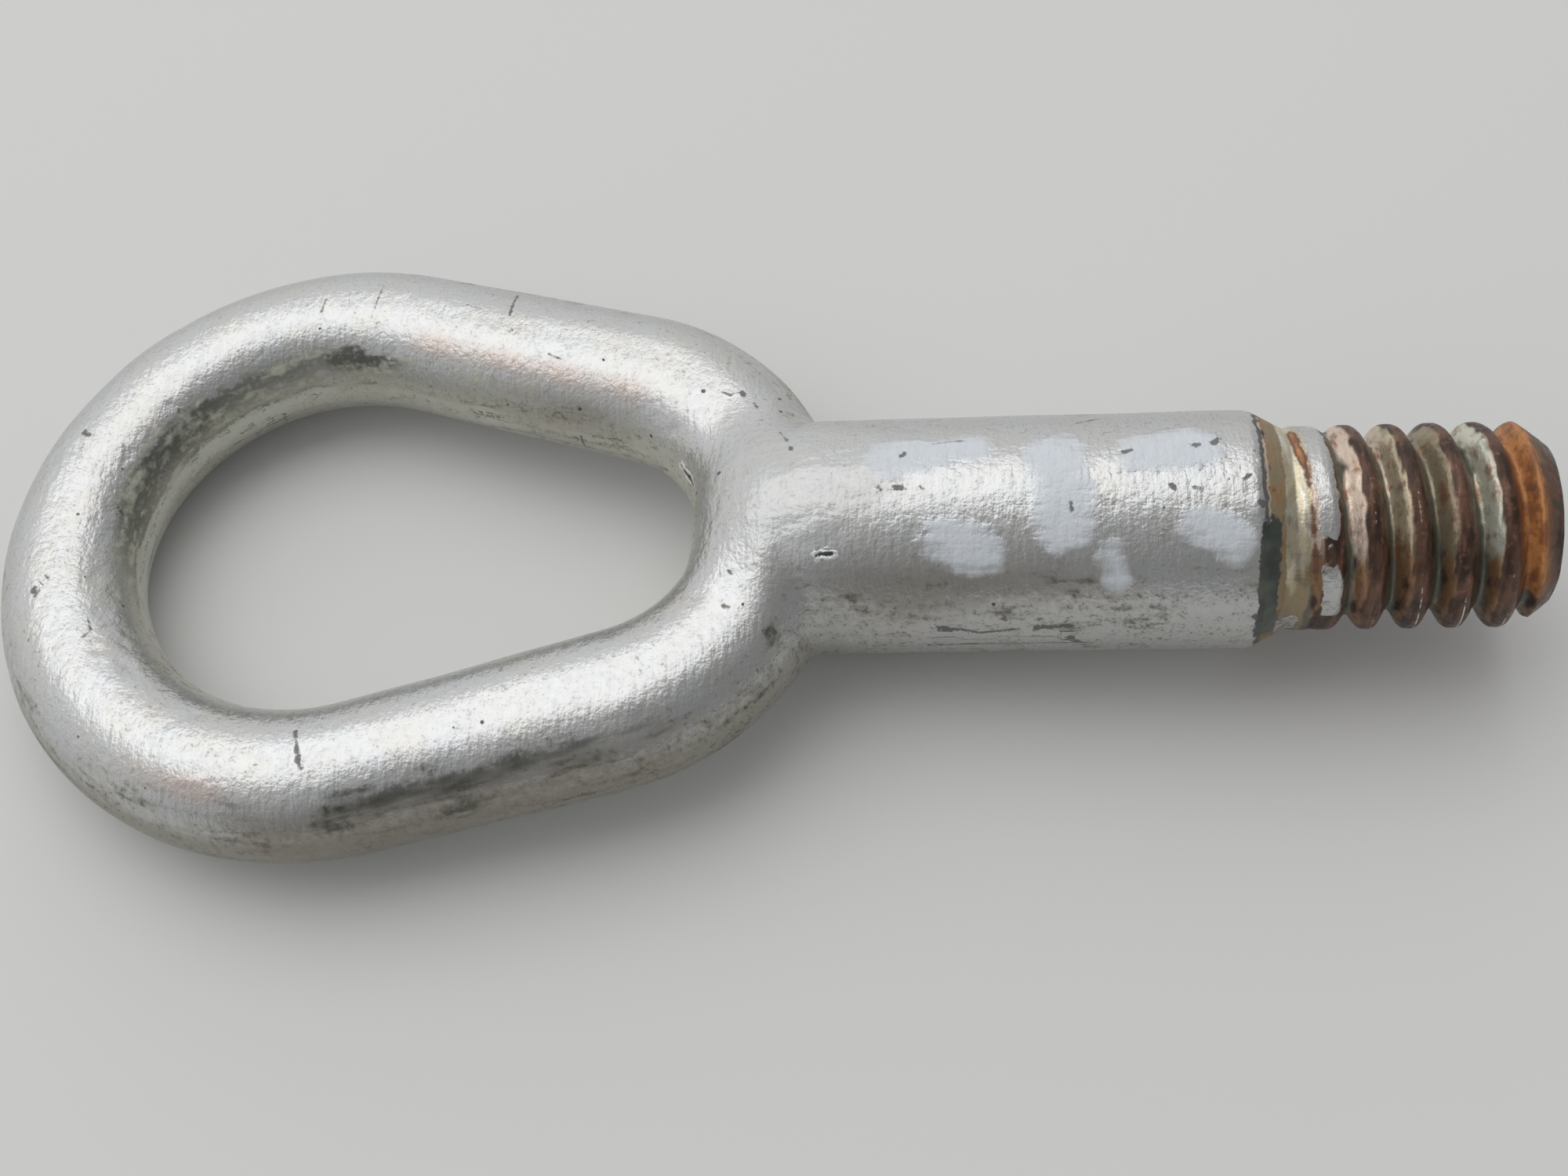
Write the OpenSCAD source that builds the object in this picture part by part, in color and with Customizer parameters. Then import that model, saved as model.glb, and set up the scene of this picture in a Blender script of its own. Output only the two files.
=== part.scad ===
// Screw-in tow eye: one drop forging with a pear-shaped eye, a round shank,
// a conical seat and a coarse threaded stud.
// The origin is on the stud's axis at the foot of the seat cone. The stud runs
// along +X, the eye lies behind the origin in the XY plane, and +Z is up.

/* [Eye opening] */
// Radius of the opening's wide end, away from the shank
opening_wide_r = 19.2; // [14:0.1:26]
// Radius of the opening's narrow end, next to the shank
opening_narrow_r = 11.5; // [8:0.1:14]
// Distance between the centres of the two ends
opening_centres = 26.8; // [18:0.1:40]
// Distance from the centre of the narrow end to the foot of the seat
eye_reach = 68.3; // [58:0.1:100]

/* [Eye bar] */
// Bar width at the far end of the eye
bar_end_w = 14.0; // [10:0.1:18]
// Bar width at the sides of the wide end
bar_side_w = 14.5; // [10:0.1:18]
// Bar width where the arms close in on the shank
bar_shoulder_w = 16.0; // [11:0.1:20]
// Bar width between the opening and the shank
bar_neck_w = 14.7; // [10:0.1:18]
// Bar thickness, square to the plane of the eye
bar_h = 13.6; // [10:0.1:18]

/* [Shank] */
// Diameter of the round shank
shank_d = 23; // [20:0.1:28]
// How far the shank reaches into the bar, from the bar's outer edge
shank_sink = 8.4; // [6:0.1:9]
// Radius of the edge at the shank's back end
shank_end_r = 7; // [4:0.1:9]
// Radius of the arched nose that the bar's metal forms over the shank's back end
nose_r = 13; // [10:0.1:14]
// Reach of the forged blend at the sides of the shank
blend_side = 1.6; // [0.8:0.1:3]
// Reach of the forged blend over and under the nose
blend_nose = 5.5; // [2:0.1:6]

/* [Seat] */
// Length of the conical seat
seat_h = 3.6; // [2:0.1:6]
// Diameter at the foot of the seat
seat_foot_d = 19.2; // [15:0.1:19.6]
// Radius of the edge between the shank and the seat
seat_edge_r = 1.2; // [0.2:0.1:2]

/* [Stud] */
// Length of the threaded stud
stud_len = 24; // [16:0.5:50]
// Diameter over the thread crests
thread_d = 19.6; // [16:0.1:20]
// Pitch of the right-hand thread
pitch = 4; // [2.5:0.25:5]
// Depth of the thread groove
groove_depth = 1.9; // [1:0.1:2.5]
// Where the groove starts, from the foot of the seat
groove_start = 2; // [0.5:0.1:4]
// Length over which the groove reaches its full depth
groove_fade = 5; // [2:0.5:8]
// Turn of the groove round the stud, in degrees
groove_turn = 238; // [0:1:360]
// Length of the chamfer at the stud's end
chamfer_len = 2.7; // [1:0.1:4]
// Diameter of the flat at the stud's end
stud_end_d = 15.4; // [12:0.1:15.9]

/* [Hidden] */
$fn = 96;

// Centres of the arcs of the opening and of the eye's outer edge
opening_narrow_x = -eye_reach;
opening_wide_x = opening_narrow_x - opening_centres;
outer_wide_x = opening_wide_x + bar_side_w - bar_end_w;
outer_wide_r = opening_wide_r + bar_side_w;
outer_narrow_x = opening_narrow_x + bar_neck_w - bar_shoulder_w;
outer_narrow_r = opening_narrow_r + bar_shoulder_w;

// Middle line of the bar
mid_wide_x = (opening_wide_x + outer_wide_x) / 2;
mid_wide_r = (opening_wide_r + outer_wide_r) / 2;
mid_narrow_x = (opening_narrow_x + outer_narrow_x) / 2;
mid_narrow_r = (opening_narrow_r + outer_narrow_r) / 2;
mid_span = mid_narrow_x - mid_wide_x;
// Direction, from +X, in which the middle line's straight arms face
arm_turn = acos((mid_wide_r - mid_narrow_r) / mid_span);

// Stations along the bar and points round its section
wide_stations = 36;
arm_stations = 7;
narrow_stations = 56;
section_points = 30;

shank_r = shank_d / 2;
shank_back_x = outer_narrow_x + outer_narrow_r - shank_sink;
seat_foot_r = seat_foot_d / 2;
seat_angle = atan((shank_r - seat_foot_r) / seat_h);
thread_r = thread_d / 2;

// Where the nose starts, and where it ends short of the opening
nose_x = shank_back_x + shank_end_r;
nose_wall = 1.5;
nose_back_x = opening_narrow_x + opening_narrow_r + nose_wall;
// The bar carries a stub of shank, which lies this far under the shank's skin
// and runs this far past the nose
stub_undercut = 0.12;
stub_len = 7;
stub_r = shank_r - stub_undercut;
// The blend widens around this place, over this length each way, and between
// these heights
blend_wide_x = nose_x - 3.8;
blend_fade = 2.4;
blend_low_z = 1;
blend_high_z = 5;
// Step of a ray that looks for the skin, and how often its last step is halved
ray_step = 1.5;
ray_halvings = 14;

// Steps in one turn of the thread
turn_steps = 30;
// The cutter starts this far clear of the stud, and half a turn before the groove
cutter_clear = 0.4;
cutter_back_turns = 0.5;

// Signed distance from an egg made of two arcs and their common tangents
function egg(x, y, wide_x, wide_r, narrow_x, narrow_r) =
    let (
        lean = (wide_r - narrow_r) / (narrow_x - wide_x),
        rise = sqrt(1 - lean * lean),
        along = (x - wide_x - wide_r * lean) * rise - (abs(y) - wide_r * rise) * lean,
        arm = (narrow_x - wide_x) * rise
    )
    along < 0 ? norm([x - wide_x, y]) - wide_r
    : along > arm ? norm([x - narrow_x, y]) - narrow_r
    : (x - wide_x) * lean + abs(y) * rise - wide_r;

// Signed distance from the bar of the eye, whose section is nearly round
function bar_distance(p) =
    let (
        inner = egg(p.x, p.y, opening_wide_x, opening_wide_r, opening_narrow_x, opening_narrow_r),
        outer = egg(p.x, p.y, outer_wide_x, outer_wide_r, outer_narrow_x, outer_narrow_r),
        half_w = max((inner - outer) / 2, 1),
        half_h = bar_h / 2,
        r = min(half_w, half_h),
        out_x = max(abs(inner + outer) / 2 - (half_w - r), 0),
        out_z = max(abs(p.z) - (half_h - r), 0)
    )
    norm([out_x, out_z]) - r;

// Smooth step from 0 at start to 1 at stop, which may lie either way
function fade(value, start, stop) =
    let (share = min(max((value - start) / (stop - start), 0), 1))
    share * share * (3 - 2 * share);

// Signed distance from the stub of shank, with its nose, that the bar is
// blended into
function stub_distance(p) =
    let (
        r = norm([p.y, p.z]),
        nose = norm([p.x - nose_x, r - stub_r + nose_r]) - nose_r,
        side = p.x < nose_x ? max(nose, nose_back_x - p.x) : r - stub_r
    )
    max(side, p.x - nose_x - stub_len);

// Reach of the blend at a place, wide over the nose and tight at the sides
function blend_reach(p) =
    blend_side + (blend_nose - blend_side)
        * fade(p.x, blend_wide_x + blend_fade, blend_wide_x - blend_fade)
        * fade(abs(p.z), blend_low_z, blend_high_z);

// Union of two signed distances with a rounded valley between them
function soft_union(a, b, reach) =
    let (share = max(reach - abs(a - b), 0) / reach)
    min(a, b) - share * share * reach / 4;

// Signed distance from the eye's skin, with the nose blended into the bar
function eye_distance(p) =
    soft_union(bar_distance(p), stub_distance(p), blend_reach(p));

// Length at which a ray crosses the skin, halved down between two limits
function crossing(from, dir, near, far, halvings) =
    let (mid = (near + far) / 2)
    halvings == 0 ? mid
    : eye_distance(from + mid * dir) < 0 ? crossing(from, dir, mid, far, halvings - 1)
    : crossing(from, dir, near, mid, halvings - 1);

// Length at which a ray from inside the bar first leaves the eye
function skin(from, dir, near = 0) =
    let (far = near + ray_step)
    eye_distance(from + far * dir) < 0 ? skin(from, dir, far)
    : crossing(from, dir, near, far, ray_halvings);

// Stations of the bar as [x, y, direction], once round from the shank
stations = [
    for (i = [0 : narrow_stations - 1])
        let (a = arm_turn * (2 * i / narrow_stations - 1))
        [mid_narrow_x + mid_narrow_r * cos(a), mid_narrow_r * sin(a), a],
    for (i = [0 : arm_stations - 1]) arm_station(1 - i / arm_stations, 1),
    for (i = [0 : wide_stations - 1])
        let (a = arm_turn + (360 - 2 * arm_turn) * i / wide_stations)
        [mid_wide_x + mid_wide_r * cos(a), mid_wide_r * sin(a), a],
    for (i = [0 : arm_stations - 1]) arm_station(i / arm_stations, -1)
];

// A station on a straight arm, from its wide end at 0 to its narrow end at 1
function arm_station(share, side) =
    let (r = mid_wide_r + (mid_narrow_r - mid_wide_r) * share)
    [
        mid_wide_x + mid_span * share + r * cos(arm_turn),
        side * r * sin(arm_turn),
        side * arm_turn
    ];

// Triangles that join neighbouring rings of points into a skin
function ring_faces(rings, points, closed) = [
    for (i = [0 : rings - (closed ? 1 : 2)])
        for (j = [0 : points - 1])
            let (
                next_i = (i + 1) % rings,
                next_j = (j + 1) % points,
                a = i * points + j,
                b = next_i * points + j,
                c = next_i * points + next_j,
                d = i * points + next_j
            )
            each [[a, b, c], [a, c, d]]
];

// The pear-shaped eye with the arched nose at the root of the shank
module eye() {
    points = [
        for (s = stations)
            for (j = [0 : section_points - 1])
                let (
                    a = -360 * j / section_points,
                    from = [s.x, s.y, 0],
                    dir = [cos(s.z) * cos(a), sin(s.z) * cos(a), sin(a)]
                )
                from + dir * skin(from, dir)
    ];
    color("silver")
        polyhedron(points, ring_faces(len(stations), section_points, true), 10);
}

// Half of the shank's lengthwise section, as [radius, distance along the axis]
module shank_profile() {
    edge_start = seat_edge_r * tan(seat_angle / 2);
    translate([0, shank_back_x])
        square([shank_r - shank_end_r, shank_end_r]);
    intersection() {
        translate([shank_r - shank_end_r, nose_x])
            circle(shank_end_r);
        translate([shank_r - shank_end_r, shank_back_x])
            square(shank_end_r);
    }
    polygon([
        [0, nose_x],
        [shank_r, nose_x],
        for (i = [0 : 4])
            let (a = seat_angle * i / 4)
            [
                shank_r - seat_edge_r * (1 - cos(a)),
                -seat_h - edge_start + seat_edge_r * sin(a)
            ],
        [seat_foot_r, 0],
        [0, 0]
    ]);
}

// Round shank with a round back end and the conical seat
module shank() {
    color("lightgray")
        rotate([0, 90, 0])
            rotate_extrude()
                shank_profile();
}

// Half of the groove's section, from its middle out to clear of the crest, as
// [share of the pitch, share of the depth]
groove_half = [[0.06, 1], [0.17, 0.58], [0.25, 0.27], [0.33, 0.08], [0.37, -0.05]];

// Cutter that runs round the stud and leaves the groove
module thread_cutter() {
    groove = [
        for (i = [len(groove_half) - 1 : -1 : 0]) [-groove_half[i].x, groove_half[i].y],
        for (h = groove_half) h
    ];
    first_turn = -cutter_back_turns;
    last_turn = (stud_len - groove_start) / pitch + cutter_back_turns;
    steps = ceil((last_turn - first_turn) * turn_steps);
    edge = groove_half[len(groove_half) - 1].x * pitch;
    edge_r = thread_r + groove_depth + 2 * cutter_clear;
    points = [
        for (i = [0 : steps])
            let (
                turn = first_turn + i / turn_steps,
                x = groove_start + turn * pitch,
                share = min(max((x - groove_start) / groove_fade, 0), 1),
                lift = (1 - share) * (groove_depth + cutter_clear),
                a = groove_turn + 360 * turn
            )
            each [
                for (g = groove)
                    let (r = thread_r - g.y * groove_depth + lift)
                    [x + g.x * pitch, r * cos(a), r * sin(a)],
                [x + edge, (edge_r + lift) * cos(a), (edge_r + lift) * sin(a)],
                [x - edge, (edge_r + lift) * cos(a), (edge_r + lift) * sin(a)]
            ]
    ];
    n = len(groove) + 2;
    polyhedron(
        points,
        concat(
            ring_faces(steps + 1, n, false),
            [[for (j = [0 : n - 1]) j]],
            [[for (j = [n - 1 : -1 : 0]) steps * n + j]]
        ),
        10
    );
}

// Threaded stud with a chamfered end
module stud() {
    color("darkgray")
        difference() {
            rotate([0, 90, 0])
                rotate_extrude()
                    polygon([
                        [0, -seat_h],
                        [thread_r, -seat_h],
                        [thread_r, stud_len - chamfer_len],
                        [stud_end_d / 2, stud_len],
                        [0, stud_len]
                    ]);
            thread_cutter();
        }
}

module tow_eye() {
    eye();
    shank();
    stud();
}

tow_eye();
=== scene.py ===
import bmesh
import bpy
import numpy as np
from mathutils import Matrix, Quaternion, Vector
from mathutils.bvhtree import BVHTree
from mathutils.kdtree import KDTree


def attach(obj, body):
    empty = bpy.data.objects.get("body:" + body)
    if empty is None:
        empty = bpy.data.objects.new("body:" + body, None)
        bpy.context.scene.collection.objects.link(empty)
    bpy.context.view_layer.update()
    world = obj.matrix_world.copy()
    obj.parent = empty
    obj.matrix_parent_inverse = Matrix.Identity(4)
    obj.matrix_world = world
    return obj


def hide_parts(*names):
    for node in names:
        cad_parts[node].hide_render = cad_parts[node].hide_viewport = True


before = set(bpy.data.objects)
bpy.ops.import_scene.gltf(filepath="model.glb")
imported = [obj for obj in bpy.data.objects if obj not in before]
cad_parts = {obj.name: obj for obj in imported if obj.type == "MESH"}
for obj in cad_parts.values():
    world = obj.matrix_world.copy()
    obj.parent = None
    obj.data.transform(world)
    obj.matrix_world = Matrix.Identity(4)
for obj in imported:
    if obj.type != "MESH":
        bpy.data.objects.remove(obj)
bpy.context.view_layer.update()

# Driving sizes, in millimetres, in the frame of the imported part
OPENING_WIDE_R = 19.2
OPENING_NARROW_R = 11.5
OPENING_CENTRES = 26.8
EYE_REACH = 68.3
BAR_END_W = 14.0
BAR_SIDE_W = 14.5
BAR_SHOULDER_W = 16.0
BAR_NECK_W = 14.7
BAR_H = 13.6
SHANK_R = 11.5
NOSE_START = 1.4
NOSE_R = 13.0
NOSE_WALL = 1.5
BLEND_SIDE = 1.6
BLEND_TOP = 5.5
BLEND_X = -47.3
BLEND_FADE = 2.4
BLEND_LOW_Z = 1
BLEND_HIGH_Z = 5
SEAT_H = 3.6
SEAT_FOOT_R = 9.6
SEAT_EDGE_R = 1.2
STUD_LEN = 24.0
THREAD_R = 9.8
PITCH = 4.0
GROOVE_DEPTH = 1.9
GROOVE_START = 2.0
GROOVE_FADE = 5.0
GROOVE_TURN = np.radians(238.0)
GROOVE_POWER = 1.8
THREAD_FOOT_LEN = 0.8
CHAMFER_LEN = 2.7
STUD_END_R = 7.7

MM = 0.001
PHOTO_W = 2000
PHOTO_H = 1500

# The photograph's camera, in millimetres, radians and photograph pixels
CAMERA_AT = np.array([-28.83, -94.85, 155.40])
CAMERA_TURN = np.array([0.51952, 0.10860, 0.011338])
CAMERA_FOCAL_PX = 2351.48
SENSOR_W = 36

# Light and floor, in metres, watts and radians
LAMP_AIM = (-0.05, 0, 0)
LAMP_TOWARD = (-0.22, 0.27, 0.93)
LAMP_DISTANCE = 0.7
LAMP_SIZE = (0.95, 0.66)
LAMP_SPIN = np.radians(-18)
LAMP_POWER = 1.7
DOME_TOWARD = (-0.66, 0.66, 0.36)
DOME_DIM = 0.23
DOME_BRIGHT = 0.8
DOME_START = -0.5
DOME_STOP = 1.0
FLOOR_COLOUR = (0.8, 0.8, 0.79, 1)

# Arcs of the opening and of the eye's outer edge, the shank's nose and the seat
NARROW_X = -EYE_REACH
WIDE_X = NARROW_X - OPENING_CENTRES
OUTER_WIDE_X = WIDE_X + BAR_SIDE_W - BAR_END_W
OUTER_WIDE_R = OPENING_WIDE_R + BAR_SIDE_W
OUTER_NARROW_X = NARROW_X + BAR_NECK_W - BAR_SHOULDER_W
OUTER_NARROW_R = OPENING_NARROW_R + BAR_SHOULDER_W
NOSE_X = OUTER_NARROW_X + OUTER_NARROW_R - NOSE_START
NOSE_BACK_X = NARROW_X + OPENING_NARROW_R + NOSE_WALL
SEAT_ANGLE = np.arctan((SHANK_R - SEAT_FOOT_R) / SEAT_H)
SEAT_EDGE_START = -SEAT_H - SEAT_EDGE_R * np.tan(SEAT_ANGLE / 2)


def shown(red, green, blue):
    """Linear colour of one that is written as it shows, from 0 to 255."""
    level = np.array([red, green, blue]) / 255
    linear = np.where(level < 0.04045, level / 12.92, ((level + 0.055) / 1.055) ** 2.4)
    return (*linear, 1)


# Colours as they show in plain light
SILVER_COOL = shown(206, 208, 209)
SILVER_WARM = shown(207, 206, 203)
SILVER_DULL = shown(160, 160, 156)
# Painted pink reflection
PAINTED_PINK_REFLECTION = shown(204, 188, 180)
# Films on the walls, in part painted shade
WALL_FILM_AND_SHADE = shown(152, 149, 136)
INNER_FILM_AND_SHADE = shown(200, 198, 184)
STRIP_GRAY = shown(214, 216, 206)
# Brown film, in part painted shade
BROWN_FILM_AND_SHADE = shown(138, 130, 118)
# Grime colours, in part painted shade
GRIME_AND_SHADE_LIGHT = shown(206, 207, 192)
# Dark dirt colour, also used for painted shade
DIRT_AND_SHADE_DARK = shown(74, 75, 64)
DUST_DARK = shown(92, 93, 87)
PIT_DARK = shown(66, 66, 62)
SCRATCH_GRAY = shown(92, 92, 87)
CHIP_BRIGHT = shown(240, 242, 240)
DAUB_WHITE = shown(222, 228, 235)
GREASE = shown(64, 71, 66)
GREASE_DRY = shown(98, 102, 92)
CONE_TAN = shown(158, 128, 94)
CONE_OLIVE = shown(152, 138, 112)
RUST_DARK = shown(66, 51, 43)
RUST_BROWN = shown(112, 82, 66)
RUST_PINK = shown(146, 104, 90)
RUST_ORANGE = shown(202, 140, 84)
RUST_DEEP = shown(150, 97, 60)
STEEL_CREAM = shown(226, 206, 188)
STEEL_OLIVE = shown(208, 196, 168)
STEEL_DULL = shown(164, 152, 128)
STEEL_PALE = shown(222, 224, 208)
# Painted shade on the lower flanks
SHADED_STEEL_TAN = shown(156, 122, 88)
GROOVE_GREEN = shown(110, 114, 102)
STEEL_BRIGHT = shown(226, 222, 210)

# Angles round the axis over which the side away from the light begins, where painted shade darkens the
# thread
UNDER_SPANS = ((30, 84), (-80, -120))

# Where the silver paint ends on the seat, and the places after it along the axis
PAINT_EDGE_X = -2.9
CONE_START_X = -2.6
CONE_STOP_X = -1.15
RING_STOP_X = 1.2
OLIVE_SPAN = (7.5, 9.5)
DULL_SPAN = (11.2, 15.2)
PALE_SPAN = (15.0, 17.5)

# Spans along the axis over which the eye, the paint, the seat and the stud come in, or go out again
EYE_SPAN = (-40, -50)
PAINT_SPAN = (SEAT_EDGE_START + 0.5, SEAT_EDGE_START - 1.5)
SEAT_SPAN = (-5.6, -4.4, 0.2, 1.2)
STUD_SPAN = (0.4, 1.6)
FLOW_TURN_X = -48

# Surface detail, in millimetres and degrees; lumps are given by their size, height and seed
UNEVEN = 0.1
UNEVEN_LUMPS = ((8, 1, 1), (3.6, 0.22, 2), (1.5, 0.04, 3))
SHANK_UNEVEN = 0.45
PARTING_HALF_W = 1.3
PARTING_VARY = 0.35
SEAM_LUMPS = ((7, 0.3, 11), (1.6, 0.12, 12))
FLASH_H = 0.16
SHANK_FLASH = 0.4
FOLD_H = 0.06
FOLD_X = -45.5
FOLD_LEAN = 12
FOLD_STRETCH = 1.3
FOLD_REACH = (9.5, 4)
FOLD_SPAN_Z = (4, 7)
FOLD_LUMPS = (((4.2, 1.0, 3), 1, 5), ((2.2, 0.6, 2), 0.6, 6))
SEAT_CHIPPING = 0.09
STUD_LUMPS = ((2.6, 0.03, 8), (0.8, 0.02, 9))
CRUSHED_CREST = np.array([16.9, 6.2, 6.9])
CRUSHED_SIZE = (2.2, 3.4, 3.4)
CRUSHED_DEPTH = 0.34
CREST_SPAN = (8.4, 9.4)

# Pits on top of the eye's far end and anywhere in the paint
FAR_END_X = -104
FAR_END_PITS = 46
PITTED_X = -8
OTHER_PITS = 110
PIT_RADII = (0.7, 1.3)
PIT_DEPTHS = (0.05, 0.15)

# White daubs on the shank: both ends, each a place on the axis and an angle, and both half widths
DAUBS = {
    "long_wipe": ((-37.2, -9), (-29.6, -13), 2.5, 2.1),
    "left_cloud": ((-32.4, 32), (-29.0, 40), 2.3, 2.6),
    "broad_dab": ((-21.8, -8), (-21.2, 26), 2.9, 3.1),
    "small_dab": ((-17.0, 42), (-16.2, 52), 1.5, 1.3),
    "cloud": ((-13.8, -8), (-9.2, -10), 2.5, 2.8),
    "foot_blot": ((-8.6, 30), (-6.2, 36), 2.0, 2.3),
}

# Soft marks at photograph pixels: place, radius in millimetres and strength
# Grime on the walls, with painted shade on the inner walls and in the crease where the arms meet the shank
GRIME_AND_SHADE = {
    "wall_low": ((190, 800), 3.6, 0.4),
    "wall_left_low": ((172, 735), 4.0, 0.6),
    "wall_left": ((170, 670), 4.4, 0.75),
    "wall_left_high": ((178, 605), 4.8, 0.75),
    "wall_corner": ((212, 545), 5.0, 0.95),
    "wall_corner_high": ((262, 508), 5.0, 0.65),
    "wall_top_left": ((325, 476), 4.8, 0.7),
    "wall_top_mid": ((390, 455), 4.2, 0.75),
    "wall_top": ((436, 448), 1.9, 1.3),
    "wall_top_b": ((462, 450), 1.9, 1.5),
    "wall_top_c": ((488, 455), 1.7, 1.0),
    "wall_top_right": ((520, 455), 3.6, 0.6),
    "wall_arm": ((600, 478), 4.0, 0.4),
    "shank_crease": ((1001, 713), 1.5, 0.85),
    "crease_low": ((1018, 745), 1.8, 0.35),
    "arm_low": ((590, 1028), 2.2, 0.75),
    "arm_low_mid": ((425, 1015), 3.0, 0.35),
    "arm_low_left": ((415, 1062), 2.4, 0.5),
    "crease_spot": ((985, 812), 0.8, 0.7),
    "far_end": ((58, 870), 3.0, 0.3),
}
# Brownish film, in part painted shade below the highlights
BROWN_AND_SHADE = {
    "arm_a": ((330, 1040), 8.0, 0.6),
    "arm_b": ((450, 1045), 8.0, 0.7),
    "arm_c": ((570, 1010), 8.0, 0.7),
    "arm_d": ((700, 975), 8.0, 0.6),
    "arm_e": ((830, 940), 8.0, 0.5),
    "shank_low": ((1120, 790), 8.0, 0.35),
    "shank_start": ((1095, 722), 5.0, 0.5),
    "shank_middle": ((1170, 735), 5.0, 0.7),
    "shank_middle_b": ((1260, 735), 5.0, 0.6),
    "shank_middle_c": ((1350, 735), 5.0, 0.6),
    "shank_middle_d": ((1440, 732), 5.0, 0.5),
    "top_arm_wall": ((640, 500), 9.0, 0.5),
    "top_arm_wall_b": ((760, 540), 8.0, 0.5),
}
# Painted pink reflection at the edge of the highlight
PINK_REFLECTION = {
    "top_arm_a": ((560, 432), 3.4, 0.8),
    "top_arm_b": ((640, 448), 3.4, 0.8),
    "top_arm_c": ((720, 466), 3.4, 0.8),
    "top_arm_d": ((800, 490), 3.4, 0.7),
    "low_left": ((250, 985), 4.0, 0.9),
    "low_left_b": ((180, 940), 3.4, 0.7),
}
# Painted shade and painted reflection of dark surroundings below the lower arm's highlight, in part dirt
SHADE = {
    "arm_a": ((425, 1008), 3.4, 0.55),
    "arm_b": ((490, 985), 3.6, 0.7),
    "arm_c": ((550, 965), 3.6, 0.85),
    "arm_d": ((610, 945), 3.6, 0.9),
    "arm_e": ((670, 925), 3.6, 0.9),
    "arm_f": ((730, 905), 3.6, 0.8),
    "arm_g": ((800, 885), 3.8, 0.6),
    "low_left": ((300, 1010), 3.2, 0.5),
    "low_left_b": ((200, 975), 3.2, 0.4),
}
PEPPER = {
    "far_end": ((60, 760), 9.0, 0.5),
    "far_end_high": ((110, 620), 7.0, 0.3),
    "far_end_low": ((90, 900), 7.0, 0.35),
    "low_left": ((250, 960), 7.0, 0.3),
    "arm_end": ((985, 510), 4.0, 0.55),
    "shank_light": ((1290, 625), 4.0, 0.6),
    "shank_light_b": ((1440, 640), 4.0, 0.6),
    "shank_end": ((1590, 600), 4.0, 1.1),
    "first_ridge": ((1695, 650), 2.6, 0.5),
    "lower_arm": ((880, 760), 5.0, 0.3),
}
BLOBS = {"grime_and_shade": GRIME_AND_SHADE, "brown_and_shade": BROWN_AND_SHADE, "pink_reflection": PINK_REFLECTION, "shade": SHADE, "pepper": PEPPER}

# Grease on the seat: places along the axis and angles between which it comes in and goes out
GREASE_SPAN = (-4.2, -3.0, -2.1, -1.1)
GREASE_ANGLES = (14, 34, 88, 108)

# Orange rust: turn of the thread, half width in turns, angles of its fades in and out, strength
RUST_RUNS = {
    "last_turn": (5.15, 0.75, (-85, -65, 73, 93), 1.15),
    "seat_pocket": (0.1, 0.22, (-51, -31, -19, 1), 1.0),
    "first_line": (0.18, 0.17, (-23, -3, 57, 77), 0.56),
}

# Specks: spacing, radius, share of the cells that hold one, and shift of the pattern
SPECKS = (2.6, 0.2, 0.2, 41.0)
PEPPER_SPECKS = (0.9, 0.14, 0.4, 47.0)

# First ridge of the thread under paint, in turns and degrees, and where the paint on it is thin
RIDGE_TURN = 0.56
RIDGE_HALF = 0.24
RIDGE_EDGE = 0.12
RIDGE_ANGLES = (-110, -80, 104, 118)
RIDGE_GAP = (32, 42, 50, 62)

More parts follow.
